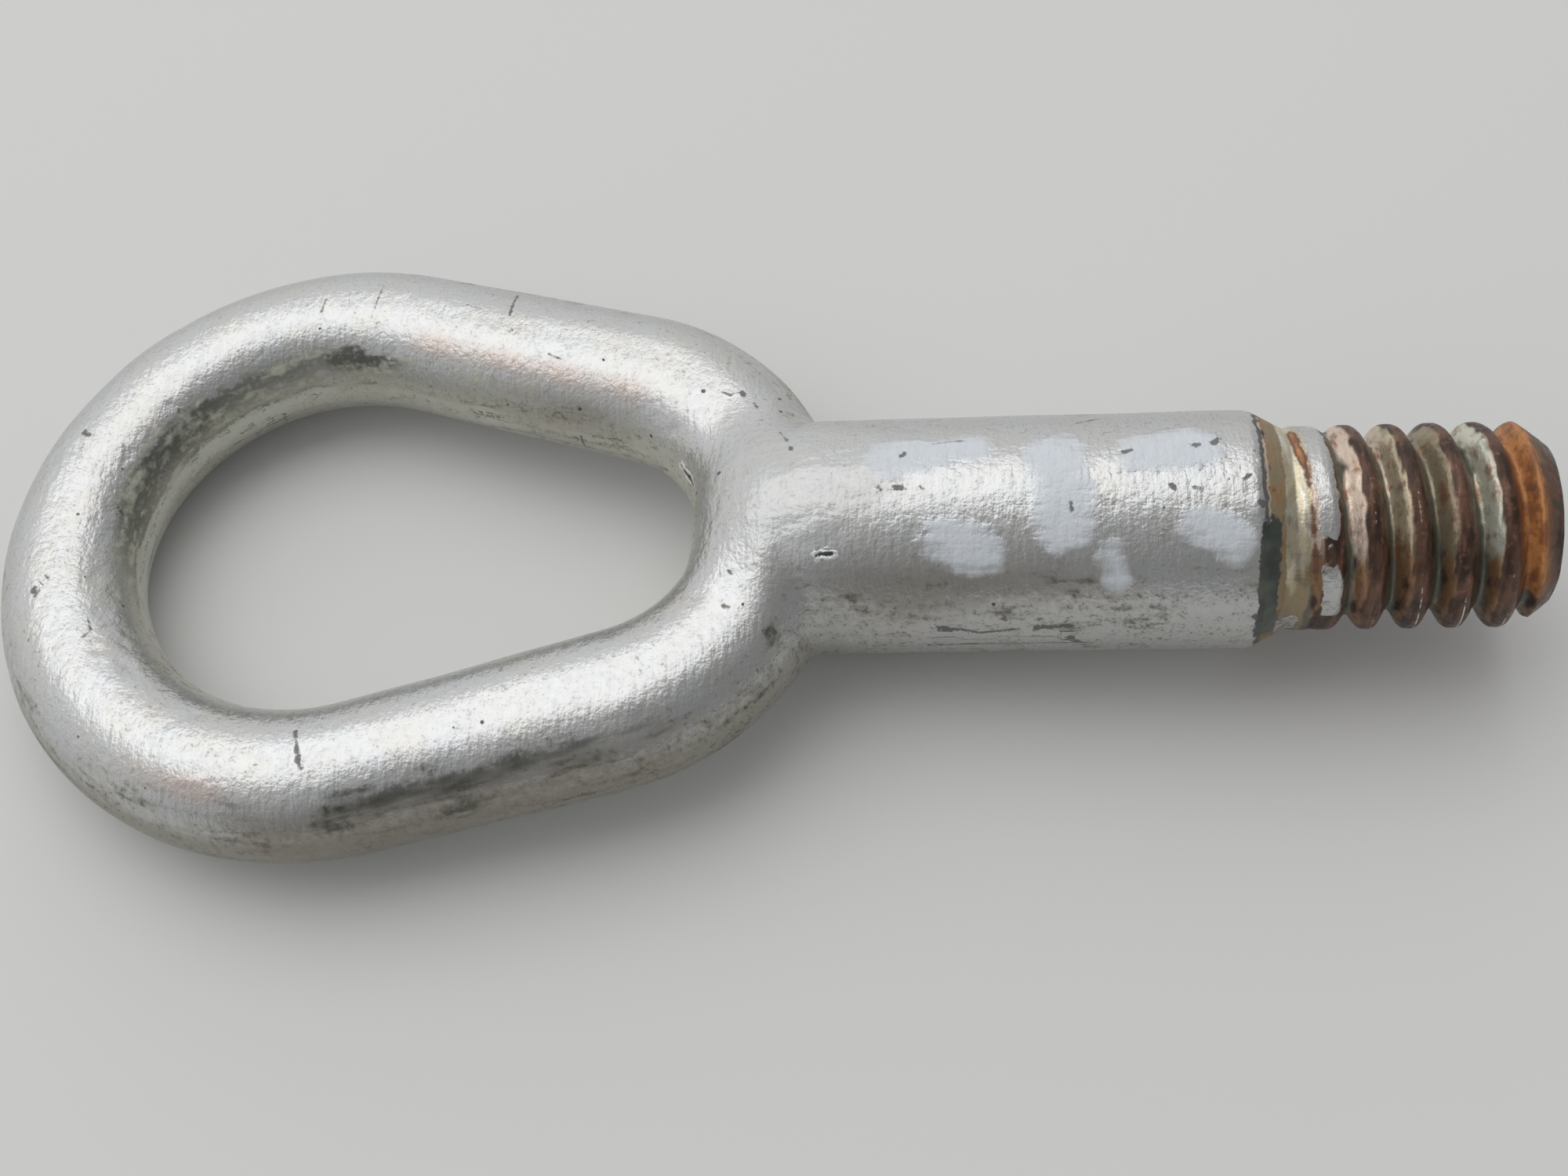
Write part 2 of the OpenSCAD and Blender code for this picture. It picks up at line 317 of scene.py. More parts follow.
# Scratches: start and end pixel, and half width in millimetres
SCRATCHES = {
    "top_arm": ((650, 401), (661, 377), 0.12),
    "top_arm_faint": ((478, 392), (490, 364), 0.06),
    "top_arm_curl": ((410, 398), (416, 382), 0.08),
    "low_arm": ((377, 934), (379, 956), 0.14),
    "low_arm_smear": ((379, 956), (383, 980), 0.22),
    "far_end_a": ((106, 812), (116, 804), 0.09),
    "far_end_b": ((116, 804), (113, 792), 0.09),
    "seam_a": ((1196, 801), (1212, 803), 0.42),
    "seam_b": ((1204, 800), (1250, 807), 0.2),
    "seam_c": ((1250, 807), (1300, 802), 0.12),
    "seam_d": ((1322, 801), (1366, 798), 0.32),
    "seam_e": ((1186, 823), (1250, 821), 0.2),
    "seam_f": ((1250, 821), (1385, 819), 0.12),
    "seam_g": ((1362, 812), (1372, 816), 0.3),
    "neck_a": ((922, 500), (932, 503), 0.14),
    "neck_b": ((946, 500), (949, 503), 0.2),
    "neck_c": ((962, 514), (966, 520), 0.14),
    "neck_d": ((996, 551), (1004, 563), 0.1),
    "neck_e": ((1007, 569), (1010, 574), 0.14),
    "low_a": ((929, 728), (932, 732), 0.14),
    "low_b": ((923, 772), (929, 775), 0.15),
    "low_c": ((986, 802), (988, 807), 0.16),
    "low_d": ((965, 852), (967, 856), 0.12),
    "daub_a": ((1149, 583), (1153, 578), 0.22),
    "daub_b": ((1143, 622), (1149, 623), 0.3),
    "daub_c": ((1121, 620), (1124, 624), 0.16),
    "daub_d": ((1174, 621), (1177, 624), 0.16),
    "daub_e": ((1366, 643), (1368, 650), 0.22),
    "daub_f": ((1435, 576), (1442, 574), 0.2),
    "daub_g": ((1523, 567), (1530, 567), 0.28),
    "daub_h": ((1548, 565), (1554, 560), 0.26),
    "daub_i": ((1526, 622), (1530, 623), 0.24),
    "daub_j": ((1496, 619), (1499, 624), 0.16),
    "end_a": ((1607, 641), (1612, 643), 0.3),
    "end_b": ((1600, 786), (1608, 790), 0.34),
    "end_c": ((1588, 611), (1594, 606), 0.14),
    "wrist_a": ((1190, 566), (1230, 562), 0.06),
    "wrist_b": ((1372, 540), (1402, 534), 0.1),
    "curve_a": ((43, 753), (48, 758), 0.3),
    "curve_b": ((58, 734), (61, 738), 0.16),
    "curve_c": ((108, 552), (113, 556), 0.24),
    "curve_d": ((152, 648), (156, 656), 0.16),
    "arm_a": ((596, 388), (612, 392), 0.06),
    "arm_b": ((748, 570), (742, 556), 0.1),
    "arm_c": ((700, 452), (716, 458), 0.08),
}

# Distance that stands for no line near a point
LINE_FAR = 9.0

# Chips: start and end pixel; the material sets their width, so the last value is 0
CHIPS = {
    "shank_start": ((1042, 708), (1061, 706), 0.0),
    "wall": ((870, 596), (884, 618), 0.0),
}


# Shape of the forging, as signed distances in millimetres

def fade(value, start, stop):
    """Smooth step from 0 at start to 1 at stop, which may lie either way."""
    share = np.clip((value - start) / (stop - start), 0, 1)
    return share * share * (3 - 2 * share)


def within(value, rise_start, rise_stop, fall_start, fall_stop):
    """1 between a span where it rises from 0 and a span where it falls back."""
    return fade(value, rise_start, rise_stop) * fade(value, fall_stop, fall_start)


def egg(x, y, wide_x, wide_r, narrow_x, narrow_r):
    """Signed distance from an egg made of two arcs and their common tangents."""
    y = np.abs(y)
    lean = (wide_r - narrow_r) / (narrow_x - wide_x)
    rise = np.sqrt(1 - lean * lean)
    along = (x - wide_x - wide_r * lean) * rise - (y - wide_r * rise) * lean
    arm = (narrow_x - wide_x) * rise
    wide = np.hypot(x - wide_x, y) - wide_r
    narrow = np.hypot(x - narrow_x, y) - narrow_r
    side = (x - wide_x) * lean + y * rise - wide_r
    return np.where(along < 0, wide, np.where(along > arm, narrow, side))


def bar_edges(p):
    """Signed distances from the opening's edge and from the eye's outer edge."""
    x, y = p[..., 0], p[..., 1]
    inner = egg(x, y, WIDE_X, OPENING_WIDE_R, NARROW_X, OPENING_NARROW_R)
    return inner, egg(x, y, OUTER_WIDE_X, OUTER_WIDE_R, OUTER_NARROW_X, OUTER_NARROW_R)


def bar_distance(p):
    inner, outer = bar_edges(p)
    half_w = np.maximum((inner - outer) / 2, 1)
    half_h = BAR_H / 2
    r = np.minimum(half_w, half_h)
    out_x = np.maximum(np.abs(inner + outer) / 2 - (half_w - r), 0)
    out_z = np.maximum(np.abs(p[..., 2]) - (half_h - r), 0)
    return np.hypot(out_x, out_z) - r


def shank_distance(p):
    """Signed distance from the shank, which has an arched nose and runs on without end along +X."""
    r = np.hypot(p[..., 1], p[..., 2])
    nose = np.hypot(p[..., 0] - NOSE_X, r - SHANK_R + NOSE_R) - NOSE_R
    nose = np.maximum(nose, NOSE_BACK_X - p[..., 0])
    return np.where(p[..., 0] < NOSE_X, nose, r - SHANK_R)


def forging_distance(p):
    """Signed distance from the forging, whose blend is wide over the nose and tight at the sides."""
    bar = bar_distance(p)
    shank = shank_distance(p)
    over = fade(p[..., 0], BLEND_X + BLEND_FADE, BLEND_X - BLEND_FADE)
    over = over * fade(np.abs(p[..., 2]), BLEND_LOW_Z, BLEND_HIGH_Z)
    blend = BLEND_SIDE + (BLEND_TOP - BLEND_SIDE) * over
    share = np.maximum(blend - np.abs(bar - shank), 0) / blend
    return np.minimum(bar, shank) - share * share * blend / 4


def skin(start, direction, step=1.0, steps=40, halvings=22):
    """Points where rays from inside the forging first leave it."""
    near = np.zeros(start.shape[:-1])
    far = np.full(start.shape[:-1], float(step))
    inside = np.ones(start.shape[:-1], bool)
    for _ in range(steps):
        inside &= forging_distance(start + far[..., None] * direction) < 0
        near = np.where(inside, far, near)
        far = np.where(inside, far + step, far)
    for _ in range(halvings):
        mid = (near + far) / 2
        inside = forging_distance(start + mid[..., None] * direction) < 0
        near = np.where(inside, mid, near)
        far = np.where(inside, far, mid)
    return start + near[..., None] * direction


def turned_radius(x, angle):
    """Radius of the shank, seat and threaded stud at a place along the axis."""
    edge = np.clip((x - SEAT_EDGE_START) / SEAT_EDGE_R, 0, np.sin(SEAT_ANGLE))
    rounded = SHANK_R - SEAT_EDGE_R * (1 - np.sqrt(1 - edge * edge))
    cone = SHANK_R - (x + SEAT_H) * np.tan(SEAT_ANGLE)
    edge_end = SEAT_EDGE_START + SEAT_EDGE_R * np.sin(SEAT_ANGLE)
    radius = np.where(x < edge_end, rounded, np.maximum(cone, SEAT_FOOT_R))
    return np.where(x < 0, radius, stud_radius(x, angle))


def groove_turns(x, angle):
    """Turns from the middle of the groove, which grow along the stud."""
    return (x - GROOVE_START) / PITCH - (angle - GROOVE_TURN) / (2 * np.pi)


def stud_radius(x, angle):
    share = (0.5 + 0.5 * np.cos(2 * np.pi * groove_turns(x, angle))) ** GROOVE_POWER
    deep = GROOVE_DEPTH * np.clip((x - GROOVE_START) / GROOVE_FADE, 0, 1)
    foot = SEAT_FOOT_R + (THREAD_R - SEAT_FOOT_R) * np.clip(x / THREAD_FOOT_LEN, 0, 1)
    chamfer = np.clip((x - STUD_LEN + CHAMFER_LEN) / CHAMFER_LEN, 0, 1)
    limit = THREAD_R + (STUD_END_R - THREAD_R) * chamfer
    return np.minimum(foot - deep * share, limit)


# Grid of the forging: the bar less a patch, and rings that run from the patch to the stud's end

NARROW_STATIONS = 120
ARM_STATIONS = 40
WIDE_STATIONS = 170
SECTION_POINTS = 112
PATCH_STATIONS = 50
PATCH_POINTS = 40
JOIN_RINGS = 26
JOIN_X = -38.0
SHANK_STEP = 0.48
FINE_STEP = 0.16
THREAD_STEP = 0.2
FINE_START_X = SEAT_EDGE_START - 0.6
THREAD_START_X = 0.9
CHAMFER_X = STUD_LEN - CHAMFER_LEN
END_SHARES = (0.94, 0.8, 0.6, 0.4, 0.2)


def stations():
    """Centre and outward direction of each section, once round the bar."""
    wide_x = (WIDE_X + OUTER_WIDE_X) / 2
    wide_r = (OPENING_WIDE_R + OUTER_WIDE_R) / 2
    narrow_x = (NARROW_X + OUTER_NARROW_X) / 2
    narrow_r = (OPENING_NARROW_R + OUTER_NARROW_R) / 2
    arm_turn = np.arccos((wide_r - narrow_r) / (narrow_x - wide_x))
    share = np.arange(ARM_STATIONS) / ARM_STATIONS

    def arc(centre, radius, start, stop, count):
        angle = start + (stop - start) * np.arange(count) / count
        return centre + radius * np.cos(angle), radius * np.sin(angle), angle

    def arm(share, side):
        x = wide_x + (narrow_x - wide_x) * share
        r = wide_r + (narrow_r - wide_r) * share
        angle = np.full(share.shape, side * arm_turn)
        return x + r * np.cos(angle), r * np.sin(angle), angle

    parts = [
        arc(narrow_x, narrow_r, -arm_turn, arm_turn, NARROW_STATIONS),
        arm(1 - share, 1),
        arc(wide_x, wide_r, arm_turn, 2 * np.pi - arm_turn, WIDE_STATIONS),
        arm(share, -1),
    ]
    x, y, angle = (np.concatenate(column) for column in zip(*parts))
    return np.stack([x, y, 0 * x], axis=-1), angle


def bar_grid():
    """Points of the bar as an array of stations by section points."""
    centre, angle = stations()
    turn = 2 * np.pi * np.arange(SECTION_POINTS) / SECTION_POINTS
    turn, angle = np.meshgrid(turn, angle)
    direction = np.stack(
        [np.cos(angle) * np.cos(turn), np.sin(angle) * np.cos(turn), np.sin(turn)], axis=-1
    )
    start = np.broadcast_to(centre[:, None, :], direction.shape)
    return skin(start, direction)


def ring_places():
    """Places along the axis of the rings past the join, closer where the form is fine."""
    spans = [
        (JOIN_X, FINE_START_X, SHANK_STEP),
        (FINE_START_X, THREAD_START_X, FINE_STEP),
        (THREAD_START_X, CHAMFER_X, THREAD_STEP),
        (CHAMFER_X, STUD_LEN, FINE_STEP),
    ]
    places = []
    for start, stop, step in spans:
        count = int(round((stop - start) / step))
        places.append(start + (stop - start) * np.arange(1, count + 1) / count)
    return np.concatenate(places)


def ring_points(x, radius, angle):
    """Points of a ring at one place along the axis."""
    return np.stack([np.full(len(angle), x), radius * np.cos(angle), radius * np.sin(angle)], axis=-1)


def rings_from(edge_points):
    """Rings that start beside the edge of the patch and end in the stud's flat end."""
    count = len(edge_points)
    edge_angle = np.unwrap(np.arctan2(edge_points[:, 2], edge_points[:, 1]))
    even_angle = edge_angle.mean() - np.pi + 2 * np.pi * (np.arange(count) + 0.5) / count
    rings = []
    for share in np.arange(1, JOIN_RINGS + 1) / JOIN_RINGS:
        x = edge_points[:, 0] * (1 - share) + JOIN_X * share
        angle = edge_angle * (1 - share) + even_angle * share
        start = np.stack([x, 0 * x, 0 * x], axis=-1)
        direction = np.stack([0 * x, np.cos(angle), np.sin(angle)], axis=-1)
        rings.append(skin(start, direction))
    for x in ring_places():
        rings.append(ring_points(x, turned_radius(np.full(count, x), even_angle), even_angle))
    end_radius = np.hypot(rings[-1][:, 1], rings[-1][:, 2])
    for share in END_SHARES:
        rings.append(ring_points(STUD_LEN, end_radius * share, even_angle))
    return rings


def forging_mesh():
    """Points and faces of the whole forging."""
    grid = bar_grid()
    rows, columns = grid.shape[:2]
    points = grid.reshape(-1, 3)

    middle = NARROW_STATIONS // 2
    first_row = middle - PATCH_STATIONS // 2
    last_row = middle + PATCH_STATIONS // 2
    low = -(PATCH_POINTS // 2)
    high = PATCH_POINTS // 2

    def index(row, column):
        return row * columns + column % columns

    faces = [
        (index(i, j), index((i + 1) % rows, j), index((i + 1) % rows, j + 1), index(i, j + 1))
        for i in range(rows)
        for j in range(low, columns + low)
        if not (first_row <= i < last_row and low <= j < high)
    ]

    # Edge of the patch, anticlockwise as the stud's end sees it
    edge = [index(last_row, j) for j in range(low, high)]
    edge += [index(i, high) for i in range(last_row, first_row, -1)]
    edge += [index(first_row, j) for j in range(high, low, -1)]
    edge += [index(i, low) for i in range(first_row, last_row)]
    count = len(edge)
    rings = rings_from(points[edge])

    previous = np.array(edge)
    base = len(points)
    for k in range(len(rings)):
        current = base + k * count + np.arange(count)
        for a in range(count):
            b = (a + 1) % count
            faces.append((previous[a], previous[b], current[b], current[a]))
        previous = current
    centre = base + len(rings) * count
    faces += [(previous[a], previous[(a + 1) % count], centre) for a in range(count)]
    points = np.concatenate([points, *rings, [[STUD_LEN, 0, 0]]])

    # The points inside the patch are in no face
    used = np.unique(np.concatenate([np.array(face) for face in faces]))
    place = np.zeros(len(points), int)
    place[used] = np.arange(len(used))
    return points[used], [tuple(int(place[i]) for i in face) for face in faces]


def make_piece(name, points, faces):
    mesh = bpy.data.meshes.new(name)
    mesh.from_pydata((points * MM).tolist(), [], faces)
    mesh.validate()
    mesh.shade_smooth()
    piece = bpy.data.objects.new(name, mesh)
    bpy.context.scene.collection.objects.link(piece)
    return piece


# Surface detail of the forging

NOISE_TABLE = 4096
NOISE_KEYS = np.array([73856093, 19349663, 83492791])


def lumps(p, size, seed):
    """Smooth noise between -1 and 1 whose lumps are about size across."""
    table = np.random.default_rng(seed).uniform(-1, 1, NOISE_TABLE)
    cell = p / size
    low = np.floor(cell).astype(np.int64)
    share = fade(cell - low, 0, 1)
    total = np.zeros(len(p))
    for corner in np.ndindex(2, 2, 2):
        key = (low + corner) @ NOISE_KEYS
        weight = np.prod(np.where(corner, share, 1 - share), axis=1)
        total += weight * table[key % NOISE_TABLE]
    return total


def layered(points, layers):
    """Sum of lumps that are given by their size, height and seed."""
    return sum(height * lumps(points, size, seed) for size, height, seed in layers)


def vertex_normals(points, faces):
    normals = np.zeros_like(points)
    for size in (3, 4):
        ring = np.array([face for face in faces if len(face) == size])
        across = np.cross(
            points[ring[:, 2]] - points[ring[:, 0]], points[ring[:, -1]] - points[ring[:, 1]]
        )
        for corner in range(size):
            np.add.at(normals, ring[:, corner], across)
    return normals / np.linalg.norm(normals, axis=1, keepdims=True)


def thread_turn(points):
    return groove_turns(points[:, 0], np.arctan2(points[:, 2], points[:, 1]))


def side_angle(points):
    """Angle round the stud's axis in degrees, from +Z toward the viewer's side."""
    return np.degrees(np.arctan2(-points[:, 1], points[:, 2]))


def seam_distance(points):
    """Distance in from the edge of the trimmed flash line round the forging."""
    half = PARTING_HALF_W + PARTING_VARY * lumps(points * (1, 1, 0), 9, 13)
    return half - np.abs(points[:, 2] + layered(points, SEAM_LUMPS))


def fold_area(points):
    """1 over the root of the shank, where the forging is wrinkled."""
    x, y, z = points.T
    away = np.hypot((x - FOLD_X) / FOLD_STRETCH, y)
    return fade(away, *FOLD_REACH) * fade(np.abs(z), *FOLD_SPAN_Z)


def worn_points(points, normals):
    """Points of the forging moved to its uneven, worn skin."""
    x, y, z = points.T
    painted = fade(x, *PAINT_SPAN)
    on_bar = fade(x, *EYE_SPAN)
    move = UNEVEN * layered(points, UNEVEN_LUMPS)
    move *= painted * (SHANK_UNEVEN + (1 - SHANK_UNEVEN) * on_bar)

    # The flash line stands a little proud, more on the eye than on the shank
    proud = 0.55 + 0.45 * lumps(points, 13, 4)
    band = fade(seam_distance(points), -0.25, 0.25)
    move += FLASH_H * band * proud * painted * (SHANK_FLASH + (1 - SHANK_FLASH) * on_bar)

    # Folds of the forging where the arms run into the shank
    lean = np.radians(FOLD_LEAN)
    along = x * np.cos(lean) + y * np.sin(lean)
    across = y * np.cos(lean) - x * np.sin(lean)
    folds = layered(np.stack([along, across, z], axis=-1), FOLD_LUMPS)
    move += FOLD_H * folds * fold_area(points)

    # Pits in the far end of the eye and small knocks all over the paint
    for place, radius, depth in pits(points):
        away = np.linalg.norm(points - place, axis=1)
        move -= depth * fade(away, radius, 0)

    # The seat's edge is chipped and the thread's crests are worn and burred
    move += within(x, *SEAT_SPAN) * SEAT_CHIPPING * lumps(points, 1.3, 7)
    move += fade(x, *STUD_SPAN) * layered(points, STUD_LUMPS)
    crushed = np.linalg.norm((points - CRUSHED_CREST) / CRUSHED_SIZE, axis=1)
    move -= CRUSHED_DEPTH * fade(crushed, 1, 0.3) * fade(np.hypot(y, z), *CREST_SPAN)
    return points + move[:, None] * normals


def pits(points):
    """Place, radius and depth of each pit."""
    chance = np.random.default_rng(21)
    far_end = points[(points[:, 0] < FAR_END_X) & (points[:, 2] > 0)]
    anywhere = points[(points[:, 0] < PITTED_X)]
    for where, count in ((far_end, FAR_END_PITS), (anywhere, OTHER_PITS)):
        for place in where[chance.integers(len(where), size=count)]:
            yield place, chance.uniform(*PIT_RADII), chance.uniform(*PIT_DEPTHS)


# Marks, as fields that the materials cut to shape

def stroke_distance(points, start, stop, half_start, half_stop):
    """Distance in from the edge of a brush stroke laid along the shank.

    Ends are places along the axis and angles round it in degrees.
    """
    along = points[:, 0]
    round_it = np.radians(side_angle(points)) * SHANK_R
    ends = np.array([start, stop], float)
    ends[:, 1] = np.radians(ends[:, 1]) * SHANK_R
    run = ends[1] - ends[0]
    offset = np.stack([along, round_it], axis=-1) - ends[0]
    share = np.clip(offset @ run / (run @ run), 0, 1)
    away = np.linalg.norm(offset - share[:, None] * run, axis=1)
    return half_start + (half_stop - half_start) * share - away


def daub_field(points):
    """Distance in from the edge of the white paint, negative outside it."""
    fields = [stroke_distance(points, *stroke) for stroke in DAUBS.values()]
    return np.clip(np.max(fields, axis=0), -4, 4)


def blob_field(points, blobs, place_of):
    """Sum of soft blobs, each 1 in its middle and 0.37 at its radius."""
    total = np.zeros(len(points))
    for pixel, radius, strength in blobs.values():
        away = np.linalg.norm(points - place_of(pixel), axis=1)
        total += strength * np.exp(-((away / radius) ** 2))
    return total


def line_fields(points, normals, lines, place_of):
    """Place of each point beside the nearest line: across it, in from its ends, and its half width."""
    nearest = np.full(len(points), LINE_FAR)
    fields = np.full((3, len(points)), -LINE_FAR)
    for start, stop, half_width in lines.values():
        start, stop = place_of(start), place_of(stop)
        run = stop - start
        length = np.linalg.norm(run)
        along = (points - start) @ run / length
        share = np.clip(along / length, 0, 1)
        away = np.linalg.norm(points - start - share[:, None] * run, axis=1)
        closer = away < nearest
        middle = normals[np.argmin(np.linalg.norm(points - (start + stop) / 2, axis=1))]
        sideways = np.cross(middle, run / length)
        nearest[closer] = away[closer]
        fields[0, closer] = ((points - start) @ sideways)[closer]
        fields[1, closer] = np.minimum(along, length - along)[closer]
        fields[2, closer] = half_width
    return fields


def rust_field(points):
    """1 in the middle of the orange rust, which runs along the thread."""
    turn = thread_turn(points)
    angle = side_angle(points)
    total = np.zeros(len(points))
    for middle, half_turns, angles, strength in RUST_RUNS.values():
        share = np.clip(1 - np.abs(turn - middle) / half_turns, 0, 1)
        total += strength * share * within(angle, *angles)
    return total


def grease_field(points):
    return within(points[:, 0], *GREASE_SPAN) * within(side_angle(points), *GREASE_ANGLES)


def ridge_field(points):
    """1 on the first ridge of the thread, which silver paint covers on the viewer's side."""
    away = np.abs(thread_turn(points) - RIDGE_TURN)
    angle = side_angle(points)
    share = fade(away, RIDGE_HALF + RIDGE_EDGE, RIDGE_HALF - RIDGE_EDGE) * within(angle, *RIDGE_ANGLES)
    return share * (1 - 0.8 * within(angle, *RIDGE_GAP))


def photo_ray(pixel):
    """Direction from the camera through a photograph pixel."""
    right, up, back = turn_matrix(CAMERA_TURN).T
    across = (pixel[0] - PHOTO_W / 2) / CAMERA_FOCAL_PX
    rise = (PHOTO_H / 2 - pixel[1]) / CAMERA_FOCAL_PX
    return right * across + up * rise - back


def place_finder(points, faces):
    """Function that finds the place on the forging which the photograph shows at a pixel."""
    tree = BVHTree.FromPolygons(points.tolist(), faces)

    def place_of(pixel):
        place, _, _, _ = tree.ray_cast(Vector(CAMERA_AT), Vector(photo_ray(pixel)))
        return np.array(place)

    return place_of


def inner_side(points):
    """1 on the side of the bar that faces the opening."""
    inner, outer = bar_edges(points)
    return fade(inner + outer, 3, -3)


def flow_places(points):
    """Places along the flow of the forging: how far along, how far out and how high."""
    centre, _ = stations()
    lengths = np.linalg.norm(np.roll(centre, -1, axis=0) - centre, axis=1)
    # The far end of the eye is the station halfway round
    half = len(centre) // 2 + NARROW_STATIONS // 2
    along = np.cumsum(lengths) - lengths
    along = np.abs(along - along[half])
    along = np.minimum(along, lengths.sum() - along)
    tree = KDTree(len(centre))
    for i, place in enumerate(centre):
        tree.insert(Vector(place), i)
    tree.balance()
    nearest = np.array([tree.find(Vector((x, y, 0)))[1] for x, y, _ in points])
    away = np.linalg.norm(points[:, :2] - centre[nearest, :2], axis=1)
    on_bar = points[:, 0] < FLOW_TURN_X
    flow = np.where(on_bar, along[nearest], along.max() - FLOW_TURN_X + points[:, 0])
    return np.stack([flow, np.where(on_bar, away, points[:, 1]), points[:, 2]], axis=-1)


def give_fields(piece, base, normals, place_of):
    """Fields at the points, kept on the mesh for the materials to read."""
    turn = 2 * np.pi * thread_turn(base)
    scratches = line_fields(base, normals, SCRATCHES, place_of)
    chips = line_fields(base, normals, CHIPS, place_of)
    fields = {
        "seam": seam_distance(base),
        "wall": 1 - np.abs(normals[:, 2]),
        "fold": fold_area(base),
        "daub": daub_field(base),
        "crest": -np.cos(turn),
        "flank": np.sin(turn),
        "under": sum(fade(side_angle(base), *span) for span in UNDER_SPANS),
        "rust": rust_field(base),
        "grease": grease_field(base),
        "ridge": ridge_field(base),
        "inner": inner_side(base),
        "scratch_across": scratches[0],
        "scratch_inside": scratches[1],
        "scratch_half": scratches[2],
        "chip_across": chips[0],
        "chip_inside": chips[1],
    }
    for name, blobs in BLOBS.items():
        fields[name] = blob_field(base, blobs, place_of)
    for name, values in fields.items():
        attribute = piece.data.attributes.new(name, "FLOAT", "POINT")
        attribute.data.foreach_set("value", values.astype(np.float32))
    attribute = piece.data.attributes.new("flow", "FLOAT_VECTOR", "POINT")
    attribute.data.foreach_set("vector", flow_places(base).astype(np.float32).ravel())


# Camera

def turn_matrix(turn):
    """Rotation matrix of a turn given as an axis times an angle."""
    return np.array(Matrix.Rotation(np.linalg.norm(turn), 3, Vector(turn)))


def make_camera():
    data = bpy.data.cameras.new("photo_camera")
    data.sensor_width = SENSOR_W
    data.lens = CAMERA_FOCAL_PX * data.sensor_width / PHOTO_W
    data.clip_start = 0.01
    camera = bpy.data.objects.new("photo_camera", data)
    matrix = Matrix(turn_matrix(CAMERA_TURN).tolist()).to_4x4()
    matrix.translation = Vector(CAMERA_AT * MM)
    camera.matrix_world = matrix
    bpy.context.scene.collection.objects.link(camera)
    bpy.context.scene.camera = camera


# Materials

def make_node(tree, kind, inputs=None, **settings):
    made = tree.nodes.new(kind)
    for name, value in settings.items():
        setattr(made, name, value)
    for key, value in (inputs or {}).items():
        if isinstance(value, bpy.types.NodeSocket):
            tree.links.new(value, made.inputs[key])
        else:
            made.inputs[key].default_value = value
    return made


